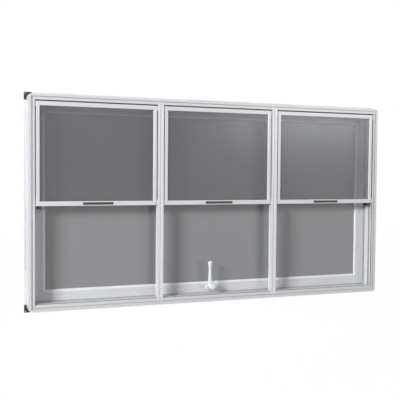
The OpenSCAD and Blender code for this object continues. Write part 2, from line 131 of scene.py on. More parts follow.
def new_material(name: str, display: str) -> tuple[bpy.types.Material, bpy.types.NodeTree, bpy.types.Node]:
    """Starts a material with an empty tree but for its output.

    Args:
        name: Name of the material.
        display: Hex colour in the solid view.

    Returns:
        The material, its node tree and its output node.
    """
    material = bpy.data.materials.new(name)
    material.use_nodes = True
    material.diffuse_color = linear(display)
    tree = material.node_tree
    tree.nodes.clear()
    return material, tree, add_node(tree, "OutputMaterial")


def uneven_tone(
    tree: bpy.types.NodeTree,
    place: bpy.types.NodeSocket,
    colour: str,
    size_mm: float,
    share: float,
    detail: float = 1.0,
    span: tuple[float, float] = (0.0, 1.0),
) -> tuple[bpy.types.NodeSocket, bpy.types.NodeSocket]:
    """Makes a colour lighter and darker in soft clouds.

    Its value is multiplied by 1 - share where the noise is at the span's low end, by 1 + share at its
    high end, and evenly in between.

    Args:
        tree: Node tree that takes the nodes.
        place: Object coordinates.
        colour: Hex colour of the finish.
        size_mm: Size of the clouds.
        share: How far the value goes from 1, each way.
        detail: Octaves of the noise.
        span: Noise values at which the clouds are darkest and lightest.

    Returns:
        The colour, and the noise that it follows.
    """
    noise = add_node(tree, "TexNoise", {"Scale": 1 / (size_mm * MM), "Detail": detail}, {"Vector": place})
    ends = {"From Min": span[0], "From Max": span[1], "To Min": 1 - share, "To Max": 1 + share}
    value = add_node(tree, "MapRange", ends, {0: noise.outputs[0]})
    tint = add_node(tree, "HueSaturation", {"Color": linear(colour)}, {"Value": value.outputs[0]})
    return tint.outputs[0], noise.outputs[0]


@dataclass(frozen=True)
class Rectangle:
    """Outline of a mitred ring in the front view: middle and half sizes, in metres."""

    x: float
    z: float
    half_w: float
    half_h: float

    @staticmethod
    def of_nodes(*names: str) -> Rectangle:
        """Smallest rectangle round some CAD nodes.

        Args:
            names: The nodes.

        Returns:
            Their outline in X and Z.
        """
        boxes = [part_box(n) for n in names]
        x0, z0 = (min(b[0][i] for b in boxes) for i in (0, 2))
        x1, z1 = (max(b[1][i] for b in boxes) for i in (0, 2))
        return Rectangle((x0 + x1) / 2, (z0 + z1) / 2, (x1 - x0) / 2, (z1 - z0) / 2)

    def inset(self, d: float) -> Rectangle:
        """Sets the rectangle in on all sides.

        Args:
            d: How far, in metres.

        Returns:
            The smaller rectangle.
        """
        return Rectangle(self.x, self.z, self.half_w - d, self.half_h - d)


@dataclass(frozen=True)
class Track:
    """A slot of a section, from one depth to another, in metres, and the grey of its painted shade."""

    start: float
    end: float
    colour: str


@dataclass(frozen=True)
class CoatedMetal:
    """White coat on metal: polyester powder, sprayed and baked, or enamel.

    What the eye gets is an even, slightly cool white with a soft sheen, a faint orange peel about a
    millimetre across and hairline joints where mitred bars meet. The walls of a section's slots are
    painted grey, as painted shade.
    """

    name: str
    colour: str = "#d3d4d7"
    ior: float = 1.5
    roughness: float = 0.27
    gloss_spread: float = 0.02
    peel_mm: float = 1.2
    peel_height_mm: float = 0.006
    peel_strength: float = 0.5
    cloud_mm: float = 240.0
    cloud_share: float = 0.008
    cloud_span: tuple[float, float] = (0.3, 0.7)
    joints: Rectangle | None = None
    joint_mm: float = 0.5
    joint_colour: str = "#8d8e90"
    knuckle_mm: float = 0.0
    clear: Rectangle | None = None
    # Slots whose walls are painted grey, as shade.
    tracks: tuple[Track, ...] = ()
    track_from_mm: float = 0.3
    track_to_mm: float = 7.5
    track_spare_mm: float = 0.05
    slot_shade_mottle_mm: float = 1.1
    slot_shade_mottle_share: float = 0.2

    def build(self) -> bpy.types.Material:
        """Makes the material from noise and lines in object space.

        Returns:
            The finished material.
        """
        material, tree, output = new_material(self.name, self.colour)
        place = add_node(tree, "TexCoord").outputs["Object"]
        colour, _ = uneven_tone(
            tree, place, self.colour, self.cloud_mm, self.cloud_share, span=self.cloud_span
        )
        # Painted shade: the walls of each slot take a mottled grey.
        for track in self.tracks:
            mask = self.slot_shade_mask(tree, place, track)
            slot_shade, _ = uneven_tone(tree, place, track.colour, self.slot_shade_mottle_mm, self.slot_shade_mottle_share)
            colour = add_node(tree, "Mix", {"data_type": "RGBA"}, {0: mask, 6: colour, 7: slot_shade}).outputs[2]
        joint = linear(self.joint_colour)
        for mask in self.line_masks(tree, place):
            colour = add_node(tree, "Mix", {"data_type": "RGBA", 7: joint}, {0: mask, 6: colour}).outputs[2]
        scale = 1 / (self.peel_mm * MM)
        peel = add_node(tree, "TexNoise", {"Scale": scale, "Detail": 2.0}, {"Vector": place})
        bump = add_node(
            tree,
            "Bump",
            {"Strength": self.peel_strength, "Distance": self.peel_height_mm * MM},
            {"Height": peel.outputs[0]},
        )
        gloss = add_node(
            tree,
            "MapRange",
            {"To Min": self.roughness - self.gloss_spread, "To Max": self.roughness + self.gloss_spread},
            {0: peel.outputs[0]},
        )
        surface = add_node(
            tree,
            "BsdfPrincipled",
            {"IOR": self.ior},
            {"Base Color": colour, "Roughness": gloss.outputs[0], "Normal": bump.outputs[0]},
        )
        tree.links.new(surface.outputs[0], output.inputs[0])
        return material

    def slot_shade_mask(
        self, tree: bpy.types.NodeTree, place: bpy.types.NodeSocket, track: Track
    ) -> bpy.types.NodeSocket:
        """Mask of the walls of a slot, where shade is painted; they lie behind the lip and between two
        depths.

        The way out from the clear opening is max(|x| - half_w, |z| - half_h), with x and z from its
        middle. On the slot's walls it lies between track_from_mm and track_to_mm, which is a little
        past the slot's floor.

        Args:
            tree: Node tree that takes the nodes.
            place: Object coordinates.
            track: The slot.

        Returns:
            The mask, 1 on the slot's walls.
        """
        xyz = add_node(tree, "SeparateXYZ", links={0: place})
        ways = []
        for socket, middle, half in (
            (xyz.outputs[0], self.clear.x, self.clear.half_w),
            (xyz.outputs[2], self.clear.z, self.clear.half_h),
        ):
            moved = add_node(tree, "Math", {"operation": "SUBTRACT", 1: middle}, {0: socket})
            size = add_node(tree, "Math", {"operation": "ABSOLUTE"}, {0: moved.outputs[0]})
            way = add_node(tree, "Math", {"operation": "SUBTRACT", 1: half}, {0: size.outputs[0]})
            ways.append(way.outputs[0])
        out = add_node(tree, "Math", {"operation": "MAXIMUM"}, {0: ways[0], 1: ways[1]})
        spare = self.track_spare_mm * MM
        masks = []
        for socket, low, high in (
            (out.outputs[0], self.track_from_mm * MM, self.track_to_mm * MM),
            (xyz.outputs[1], track.start - spare, track.end + spare),
        ):
            middle, half = (low + high) / 2, (high - low) / 2
            inside = add_node(tree, "Math", {"operation": "COMPARE", 1: middle, 2: half}, {0: socket})
            masks.append(inside.outputs[0])
        return add_node(tree, "Math", {"operation": "MULTIPLY"}, {0: masks[0], 1: masks[1]}).outputs[0]

    def line_masks(
        self, tree: bpy.types.NodeTree, place: bpy.types.NodeSocket
    ) -> list[bpy.types.NodeSocket]:
        """Masks of the mitre joints and of the gaps between hinge knuckles.

        A mitre joint lies where a point is as far in from the side as from the head or sill:
        |(half_w - |x|) - (half_h - |z|)| < joint / 2, with x and z from the ring's middle.

        Args:
            tree: Node tree that takes the nodes.
            place: Object coordinates.

        Returns:
            The masks, each 1 on a line.
        """
        ways = []
        xyz = add_node(tree, "SeparateXYZ", links={0: place})
        if self.joints:
            ring = self.joints
            sides = []
            for socket, middle in ((xyz.outputs[0], ring.x), (xyz.outputs[2], ring.z)):
                moved = add_node(tree, "Math", {"operation": "SUBTRACT", 1: middle}, {0: socket})
                size = add_node(tree, "Math", {"operation": "ABSOLUTE"}, {0: moved.outputs[0]})
                sides.append(size.outputs[0])
            gap = add_node(tree, "Math", {"operation": "SUBTRACT"}, {0: sides[0], 1: sides[1]}).outputs[0]
            off = add_node(tree, "Math", {"operation": "SUBTRACT", 1: ring.half_w - ring.half_h}, {0: gap})
            ways.append(add_node(tree, "Math", {"operation": "ABSOLUTE"}, {0: off.outputs[0]}).outputs[0])
        if self.knuckle_mm:
            half_step = self.knuckle_mm * MM / 2
            step = add_node(tree, "Math", {"operation": "PINGPONG", 1: half_step}, {0: xyz.outputs[0]})
            ways.append(step.outputs[0])
        near = {"operation": "LESS_THAN", 1: self.joint_mm * MM / 2}
        return [add_node(tree, "Math", near, {0: way}).outputs[0] for way in ways]


@dataclass(frozen=True)
class MouldedPlastic:
    """Injection-moulded or extruded plastic or rubber, dyed through.

    What the eye gets is a dull surface with a fine spark-eroded grain and slightly uneven gloss.
    """

    name: str
    colour: str
    roughness: float
    gloss_spread: float = 0.06
    grain_mm: float = 0.5
    grain_height_mm: float = 0.02
    grain_strength: float = 0.5
    cloud_mm: float = 33.0
    cloud_share: float = 0.15
    ior: float = 1.48
    sheen: float = 0.0

    def build(self) -> bpy.types.Material:
        """Makes the material from two scales of noise.

        Returns:
            The finished material.
        """
        material, tree, output = new_material(self.name, self.colour)
        place = add_node(tree, "TexCoord").outputs["Object"]
        scale = 1 / (self.grain_mm * MM)
        grain = add_node(tree, "TexNoise", {"Scale": scale, "Detail": 2.0}, {"Vector": place})
        colour, cloud = uneven_tone(tree, place, self.colour, self.cloud_mm, self.cloud_share, detail=2.0)
        gloss = add_node(
            tree,
            "MapRange",
            {"To Min": self.roughness - self.gloss_spread, "To Max": self.roughness + self.gloss_spread},
            {0: cloud},
        )
        bump = add_node(
            tree,
            "Bump",
            {"Strength": self.grain_strength, "Distance": self.grain_height_mm * MM},
            {"Height": grain.outputs[0]},
        )
        surface = add_node(
            tree,
            "BsdfPrincipled",
            {"IOR": self.ior, "Sheen Weight": self.sheen},
            {"Base Color": colour, "Roughness": gloss.outputs[0], "Normal": bump.outputs[0]},
        )
        tree.links.new(surface.outputs[0], output.inputs[0])
        return material


@dataclass(frozen=True)
class CoatedWire:
    """Grey coated wire of an insect screen, rolled flat and dipped.

    What the eye gets is a smooth grey skin with a soft metallic glint where the flat fronts face a light.
    """

    name: str = "Coated screen wire"
    colour: str = "#898a8c"
    metallic: float = 0.5
    roughness: float = 0.27
    speck_mm: float = 4.0
    speck_share: float = 0.12

    def build(self) -> bpy.types.Material:
        """Makes the material, with slight changes of tone along the wires.

        Returns:
            The finished material.
        """
        material, tree, output = new_material(self.name, self.colour)
        place = add_node(tree, "TexCoord").outputs["Object"]
        colour, _ = uneven_tone(tree, place, self.colour, self.speck_mm, self.speck_share)
        skin = {"Metallic": self.metallic, "Roughness": self.roughness}
        surface = add_node(tree, "BsdfPrincipled", skin, {"Base Color": colour})
        tree.links.new(surface.outputs[0], output.inputs[0])
        return material


@dataclass(frozen=True)
class TintedGlass:
    """Grey tinted float glass with a satin privacy film.

    What the eye gets is an even mid grey that takes soft shadows, under a thin clear gloss.
    """

    name: str = "Grey tinted satin glass"
    colour: str = "#858688"
    roughness: float = 0.22
    transmission: float = 0.06
    ior: float = 1.5
    wave_mm: float = 420.0
    wave_share: float = 0.015

    def build(self) -> bpy.types.Material:
        """Makes the material, with the faint waviness of float glass in its tint.

        Returns:
            The finished material.
        """
        material, tree, output = new_material(self.name, self.colour)
        place = add_node(tree, "TexCoord").outputs["Object"]
        colour, _ = uneven_tone(tree, place, self.colour, self.wave_mm, self.wave_share)
        pane = {"IOR": self.ior, "Roughness": self.roughness, "Transmission Weight": self.transmission}
        film = {"Coat Weight": 1.0, "Coat Roughness": self.roughness, "Coat IOR": self.ior}
        surface = add_node(tree, "BsdfPrincipled", pane | film, {"Base Color": colour})
        tree.links.new(surface.outputs[0], output.inputs[0])
        return material


def grid_faces(rows: int, cols: int, wrap_rows: bool = False) -> np.ndarray:
    """Quads between the points of a grid stored row by row, whose rows are closed.

    Quad (i, j) joins points (i, j), (i, j + 1), (i + 1, j + 1) and (i + 1, j), with j counted modulo
    the row's length, and i modulo the number of rows where they wrap.

    Args:
        rows: Number of rows.
        cols: Points in each row.
        wrap_rows: Whether the last row joins the first.

    Returns:
        One row of four point numbers for each quad.
    """
    i, j = np.meshgrid(np.arange(rows if wrap_rows else rows - 1), np.arange(cols), indexing="ij")
    i, j = i.ravel(), j.ravel()
    i1, j1 = (i + 1) % rows, (j + 1) % cols
    return np.stack([i * cols + j, i * cols + j1, i1 * cols + j1, i1 * cols + j], axis=1)


def smooth_step(t: np.ndarray) -> np.ndarray:
    """Eases from 0 to 1: t * t * (3 - 2 t), with t held between 0 and 1.

    Args:
        t: The values.

    Returns:
        The eased values.
    """
    t = np.clip(t, 0.0, 1.0)
    return t * t * (3 - 2 * t)


def make_piece(
    name: str,
    points: np.ndarray,
    faces: np.ndarray | list[list[int]],
    material: bpy.types.Material,
    body: str,
    slot: Slot,
    rounded: bool = True,
) -> bpy.types.Object:
    """Puts points and faces into a new mesh object that rides on a CAD body.

    Args:
        name: Name of the piece.
        points: Points in metres, one row each.
        faces: Point numbers of each face.
        material: Its finish.
        body: CAD body that it moves with.
        slot: Material slot of the record; not used.
        rounded: Whether its close points are merged, its faces turned outwards and its shading made
            smooth, as on every piece but the wires.

    Returns:
        The new object.
    """
    mesh = bpy.data.meshes.new(name)
    mesh.from_pydata(points.reshape(-1, 3).tolist(), [], [list(map(int, face)) for face in faces])
    if rounded:
        work = bmesh.new()
        work.from_mesh(mesh)
        bmesh.ops.remove_doubles(work, verts=work.verts, dist=MERGE_DIST)
        bmesh.ops.recalc_face_normals(work, faces=work.faces)
        work.to_mesh(mesh)
        work.free()
        mesh.shade_smooth()
        mesh.set_sharp_from_angle(angle=SMOOTH_ANGLE)
    mesh.materials.append(material)
    piece = bpy.data.objects.new(name, mesh)
    bpy.context.scene.collection.objects.link(piece)
    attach(piece, body)
    LOG.info("%s: %d points, %d faces", name, len(mesh.vertices), len(mesh.polygons))
    return piece


def ring_path(ring: Rectangle, y: float, radius: float, steps: int) -> tuple[np.ndarray, np.ndarray]:
    """Closed path round a rectangle with round corners, in a plane of constant depth.

    Corner k has its centre a radius in from the corner, and its points at angles from k to k + 1
    quarter turns: centre + radius * (cos a, sin a). The outward direction there is (cos a, sin a).

    Args:
        ring: The rectangle.
        y: Depth of the plane.
        radius: Corner radius.
        steps: Steps in each corner.

    Returns:
        The points, and the outward direction at each.
    """
    angle = (np.arange(4)[:, None] + np.linspace(0, 1, steps + 1)[None, :]) * QUARTER_TURN
    sign_x = np.array([1, -1, -1, 1])[:, None]
    sign_z = np.array([1, 1, -1, -1])[:, None]
    out = np.stack([np.cos(angle), np.zeros_like(angle), np.sin(angle)], axis=2).reshape(-1, 3)
    x = ring.x + sign_x * (ring.half_w - radius) + radius * np.cos(angle)
    z = ring.z + sign_z * (ring.half_h - radius) + radius * np.sin(angle)
    return np.stack([x, np.full_like(x, y), z], axis=2).reshape(-1, 3), out


def carry_round(section: np.ndarray, path: np.ndarray, out: np.ndarray) -> tuple[np.ndarray, np.ndarray]:
    """Carries a closed section round a closed path.

    Point (i, j) is path[i] + section[j, 0] * out[i] + section[j, 1] * Y.

    Args:
        section: Offsets outwards and in depth, in metres.
        path: Points of the path.
        out: Outward direction at each point.

    Returns:
        The points and the quads.
    """
    depth = np.array([0.0, 1.0, 0.0])
    points = path[:, None, :] + section[None, :, :1] * out[:, None, :] + section[None, :, 1:] * depth
    return points.reshape(-1, 3), grid_faces(len(path), len(section), wrap_rows=True)


def superellipse(half: float, power: float, count: int) -> np.ndarray:
    """Closed superellipse, as wide as it is high.

    Point k is half * (sgn(cos t) * |cos t| ** (2 / n), sgn(sin t) * |sin t| ** (2 / n)), with t at k
    equal steps round the circle. It is a circle at n = 2, and squarer above that.

    Args:
        half: Half its width.
        power: The power n.
        count: Number of points.

    Returns:
        The points, one row each.
    """
    t = np.arange(count) * (2 * math.pi / count)
    circle = np.stack([np.cos(t), np.sin(t)], axis=1)
    return half * (np.sign(circle) * np.abs(circle) ** (2 / power))


def middle_height(node: str) -> float:
    """Height of the middle of a CAD node's box.

    Args:
        node: The CAD node.

    Returns:
        The height in metres.
    """
    low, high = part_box(node)
    return (low[2] + high[2]) / 2


def soften(node: str, width_mm: float, segments: int = 2) -> None:
    """Rounds the sharp edges of a CAD part with live modifiers, without touching its mesh.

    Args:
        node: The CAD node.
        width_mm: Width of the rounding.
        segments: Segments in it.
    """
    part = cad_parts[node]
    weld = part.modifiers.new("weld", "WELD")
    weld.merge_threshold = WELD_DIST
    bevel = part.modifiers.new("edges", "BEVEL")
    bevel.width = width_mm * MM
    bevel.segments = segments
    bevel.limit_method = "ANGLE"
    bevel.angle_limit = BEVEL_ANGLE
    bevel.use_clamp_overlap = True
    bevel.harden_normals = False


def dress(node: str, material: bpy.types.Material) -> None:
    """Gives a CAD part its finish.

    Args:
        node: The CAD node.
        material: The finish.
    """
    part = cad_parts[node]
    part.data.materials.clear()
    part.data.materials.append(material)
    LOG.info("%s: %s", node, material.name)


@dataclass
class OuterFrame:
    """Mitred frame, mullions, flange and corner pieces.

    The faces' widths, and the slots' depths behind the face, are those of the CAD section.
    """

    bars: tuple[str, ...] = ("head_frame", "sill_frame", "left_jamb", "right_jamb")
    mullions: tuple[str, ...] = ("left_mullion", "right_mullion")
    flanges: tuple[str, ...] = ("head_flange", "sill_flange", "left_flange", "right_flange")
    edge_mm: float = 0.6
    flange_edge_mm: float = 0.4
    face_w: float = 28 * MM
    sill_face_h: float = 34 * MM
    front_slot: tuple[float, float] = (3 * MM, 12 * MM)
    rear_slot: tuple[float, float] = (23 * MM, 38 * MM)
    # Greys of the shade painted on the walls of the front, rear and sill slots.
    front_slot_shade: str = "#66676a"
    rear_slot_shade: str = "#a2a3a6"
    sill_slot_shade: str = "#3a3b3d"

    def build(self) -> None:
        """Dresses the bars, mullions, flange strips and corner pieces."""
        self.mitred_bars()
        # The mullions and flange strips take the bars' white coat painted lighter, as painted light on their
        # faces.
        lightened_coat = CoatedMetal("White powder coat on extrusions", colour="#dfe0e3").build()
        for node in self.mullions:
            dress(node, lightened_coat)
            soften(node, self.edge_mm)
        for node in self.flanges:
            dress(node, lightened_coat)
            soften(node, self.flange_edge_mm, 1)
        self.corner_pieces()

    def mitred_bars(self) -> None:
        """Dresses the four bars, with painted shade in their slots and hairline joints at the corners."""
        ring = Rectangle.of_nodes(*self.bars)
        # The clear opening lies above the ring's middle, because the sill's face is the tallest.
        rise = (self.sill_face_h - self.face_w) / 2
        clear = Rectangle(0.0, ring.z + rise, ring.half_w - self.face_w, ring.half_h - self.face_w - rise)
        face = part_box("head_frame")[0][1]
        front, rear = ((face + near, face + far) for near, far in (self.front_slot, self.rear_slot))
        coat = CoatedMetal(
            "White powder coat on mitred extrusions",
            joints=ring,
            clear=clear,
            tracks=(Track(*front, self.front_slot_shade), Track(*rear, self.rear_slot_shade)),
        ).build()
        # In the sill the painted shade is darker and comes up to the lip, and the rear slot has none.
        sill_coat = CoatedMetal(
            "White powder coat on the sill extrusion",
            joints=ring,
            clear=clear,
            tracks=(Track(*front, self.sill_slot_shade),),
            track_from_mm=0.0,
        ).build()
        for node in self.bars:
            dress(node, sill_coat if node == "sill_frame" else coat)
            soften(node, self.edge_mm)

    def corner_pieces(self) -> None:
        """Dresses the moulded corners of the flange, black on the left and white on the right."""
        black = MouldedPlastic("Black moulded nylon", "#2b2c2e", 0.45).build()
        white = MouldedPlastic("White moulded nylon", "#d8d9db", 0.5).build()
        for side, finish in (("left", black), ("right", white)):
            for level in ("top", "bottom"):
                node = f"{level}_{side}_corner"
                dress(node, finish)
                soften(node, self.edge_mm)


@dataclass
class GlazedSash:
    """Top-hung sash: bars, beads, glass, gaskets, seal and hinge."""

    bars: tuple[str, ...] = ("sash_top_rail", "sash_bottom_rail", "sash_left_stile", "sash_right_stile")
    beads: tuple[str, ...] = ("top_bead", "bottom_bead", "left_bead", "right_bead")
    lip: float = 18 * MM
    gasket_w: float = 2.2 * MM
    gasket_t: float = 1.6 * MM
    gasket_slope_share: float = 0.35
    gasket_corner_share: float = 0.6
    gasket_steps: int = 3
    edge_mm: float = 0.6
    bead_edge_mm: float = 0.5

    def build(self) -> None:
        """Dresses the sash and makes its two glazing gaskets."""
        whole = Rectangle.of_nodes(*self.bars)
        # The mitres start at the bars' corners, inside the lip round the outer face. At the bottom the
        # rail's lip hangs lower than the stiles do, so the middle height is a stile's.
        ring = Rectangle(
            whole.x, middle_height("sash_left_stile"), whole.half_w - self.lip, whole.half_h - self.lip
        )
        coat = CoatedMetal("White powder coat on sash extrusions", colour="#d6d7da", joints=ring).build()
        for node in self.bars:
            dress(node, coat)
            soften(node, self.edge_mm)
        # Rigid vinyl is whiter than the coat, with as soft a sheen.
        bead = CoatedMetal("White rigid vinyl bead", colour="#eeeff0", roughness=0.3).build()
        for node in self.beads:
            dress(node, bead)
            soften(node, self.bead_edge_mm)
        dress("glass_pane", TintedGlass().build())
        # Foam has open pores, so it looks dull and even.
        dress("sash_seal", MouldedPlastic("Grey foam weather seal", "#a4a6a9", 0.75, grain_mm=0.6).build())
        # The hinge strip shows its knuckles as fine dark gaps.
        dress("sash_hinge", CoatedMetal("White coated hinge strip", knuckle_mm=36.0, joint_mm=0.8).build())
        vinyl = MouldedPlastic("Grey extruded vinyl", "#a9aaac", 0.6, grain_mm=0.3).build()
        rubber = MouldedPlastic("Black extruded rubber", "#2a2b2c", 0.7, grain_mm=0.3, sheen=0.1).build()
        self.gasket("room_glazing_gasket", vinyl, room_side=True)
        self.gasket("outer_glazing_gasket", rubber, room_side=False)

    def gasket(self, name: str, material: bpy.types.Material, room_side: bool) -> None:
        """Makes a wedge gasket that lies on the glass along the beads or the sash.

        Args:
            name: Name of the piece.
            material: Its finish.
            room_side: Whether it lies on the room side of the glass.
        """
        low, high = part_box("glass_pane")
        half_w = -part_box("left_bead")[1][0]
        top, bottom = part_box("top_bead")[0][2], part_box("bottom_bead")[1][2]
        ring = Rectangle(0.0, (top + bottom) / 2, half_w, (top - bottom) / 2)
        y, sign = (low[1], -1.0) if room_side else (high[1], 1.0)
        w, t, slope = self.gasket_w, sign * self.gasket_t, self.gasket_slope_share
        section = np.array([[0.0, 0.0], [0.0, t], [-slope * w, t], [-w, slope * t], [-w, 0.0]])
        path, out = ring_path(ring, y, self.gasket_corner_share * w, self.gasket_steps)
        make_piece(name, *carry_round(section, path, out), material, FRAME_BODY, Slot.SEAL)


@dataclass
class InsectScreen:
    """One lifting screen: bars, wires, spline, pull strip, shoes and latches.

    The wires are as far apart as in real mesh, which has 18 by 16 to the inch. Each is drawn about
    0.5 mm thick, where a real one has 0.28 mm, because finer wires wouldn't show from here.
    """

    bay: Bay
    bars: bpy.types.Material
    wire: bpy.types.Material
    spline: bpy.types.Material
    latch: bpy.types.Material
    shoe: bpy.types.Material
    pull: bpy.types.Material
    pitch: float = 1.5 * MM
    wire_half_w: float = 0.24 * MM
    wire_half_t: float = 0.26 * MM
    wire_sides: int = 6
    wire_edge: float = 1.2 * MM
    wire_depth: float = 0.6 * MM
    spline_w: float = 3.3 * MM
    spline_gap: float = 0.1 * MM
    spline_sink: float = 0.3 * MM
    spline_power: float = 2.4
    spline_sides: int = 12
    spline_steps: int = 4

    def build(self) -> None:
        """Dresses the screen's CAD parts and makes its wires and spline."""
        finishes = [
            ("frame", self.bars, 0.5, 2),
            ("pull", self.pull, 0.3, 1),
            ("shoes", self.shoe, 0.5, 2),
        ]
        if self.bay is not Bay.CENTRE:
            finishes.append(("latches", self.latch, 0.8, 2))
        for part, material, edge_mm, segments in finishes:
            node = f"{self.bay.body}_{part}"
            dress(node, material)
            soften(node, edge_mm, segments)
        self.weave()
        self.press_spline()

    def weave(self) -> None:
        """Makes the bonded grid of wires.

        Each wire is a straight prism with a flat front: end e and side k of wire i lie at its line's
        end plus (half_w * cos a, half_t * sin a) across it and in depth, with a = 2 pi k / sides.
        """
        low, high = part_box(f"{self.bay.body}_mesh")
        y, edge, sides = high[1] - self.wire_depth, self.wire_edge, self.wire_sides
        spans = {0: (low[0] + edge, high[0] - edge), 2: (low[2] + edge, high[2] - edge)}
        angle = np.arange(sides) * (2 * math.pi / sides)
        ring = np.stack([self.wire_half_w * np.cos(angle), self.wire_half_t * np.sin(angle)], axis=1)
        points, faces, start = [], [], 0
        for across, along in ((0, 2), (2, 0)):
            first, last = spans[across]
            count = int((last - first) / self.pitch)
            lines = (first + last) / 2 + (np.arange(count) - (count - 1) / 2) * self.pitch
            grid = np.zeros((count, 2, sides, 3))
            grid[..., across] = lines[:, None, None] + ring[None, None, :, 0]
            grid[..., 1] = y + ring[None, None, :, 1]
            grid[..., along] = np.array(spans[along])[None, :, None]
            number = start + np.arange(count)[:, None, None] * (2 * sides)
            wall = grid_faces(2, sides)[None] + number
            # Level wires run the other way round their sections, so their faces are turned.
            if across == 2:
                wall = wall[..., ::-1]
            points.append(grid.reshape(-1, 3))
            faces.append(wall.reshape(-1, 4))
            start += count * 2 * sides
        piece = make_piece(
            f"{self.bay.body}_wires",
            np.concatenate(points),
            np.concatenate(faces),
            self.wire,
            self.bay.body,
            Slot.MESH,
            rounded=False,
        )
        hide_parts(f"{self.bay.body}_mesh")

    def press_spline(self) -> None:
        """Makes the vinyl spline that holds the wires in the groove behind the bars."""
        half = self.spline_w / 2
        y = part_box(f"{self.bay.body}_mesh")[1][1] - half + self.spline_sink
        ring = Rectangle.of_nodes(f"{self.bay.body}_mesh").inset(half + self.spline_gap)
        section = superellipse(half, self.spline_power, self.spline_sides)
        path, out = ring_path(ring, y, half, self.spline_steps)
        rod = carry_round(section, path, out)
        make_piece(f"{self.bay.body}_spline", *rod, self.spline, self.bay.body, Slot.MESH)


